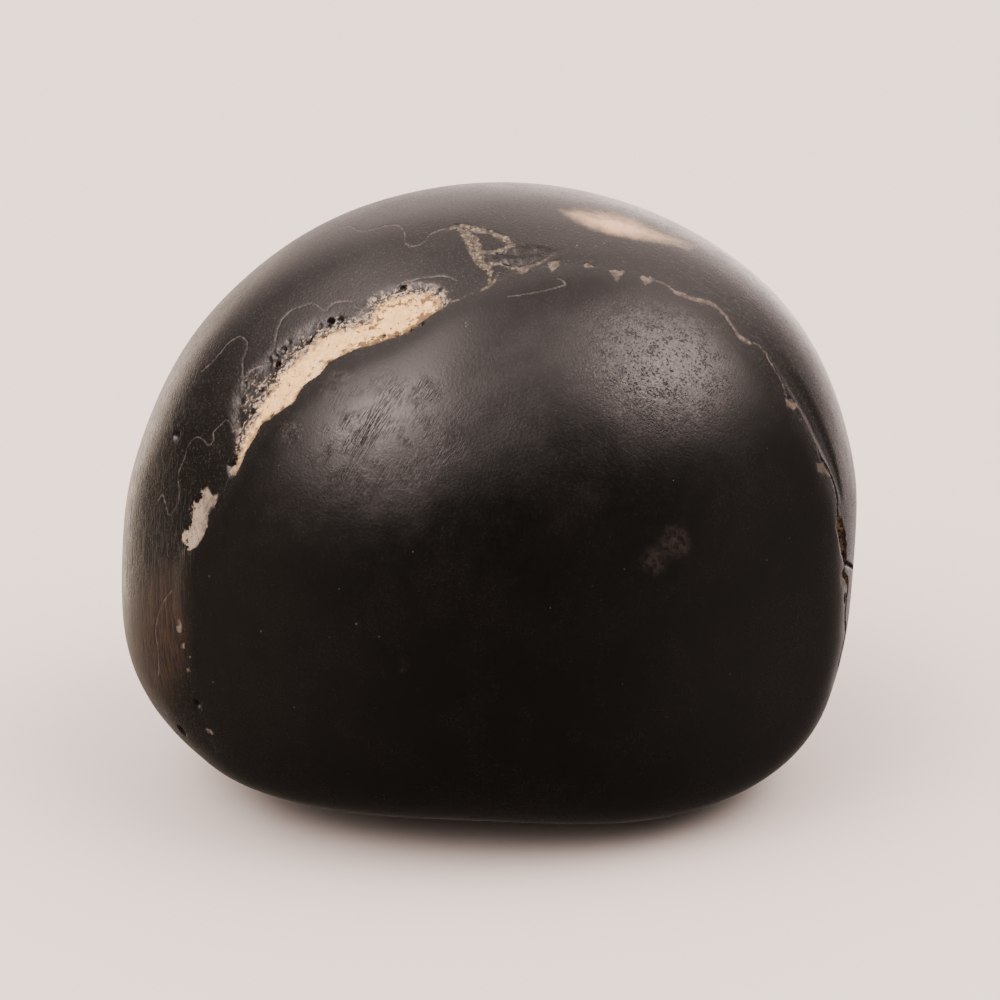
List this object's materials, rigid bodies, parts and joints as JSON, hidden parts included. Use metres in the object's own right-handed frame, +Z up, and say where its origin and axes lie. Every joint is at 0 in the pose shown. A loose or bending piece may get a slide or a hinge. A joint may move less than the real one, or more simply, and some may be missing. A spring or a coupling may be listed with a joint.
{
  "type": "shaligram stone",
  "caption": "Black water-worn nodule with a seamed front lobe, a pale calcite vein along its upper edge and a small flat spot to rest on.",
  "frame": {"origin": "on the ground, under the middle of the stone's bounding box, level with its flat spot", "axes": "+X along the stone's longest width, to the right when its front lobe is faced; -Y out of the front lobe; +Z up"},
  "size_m": [0.0989, 0.0884, 0.081],
  "materials": {
    "black_stone": "worn smooth, with a soft oily shine"
  },
  "bodies": {
    "root": {"stone": "black_stone"}
  },
  "joints": []
}
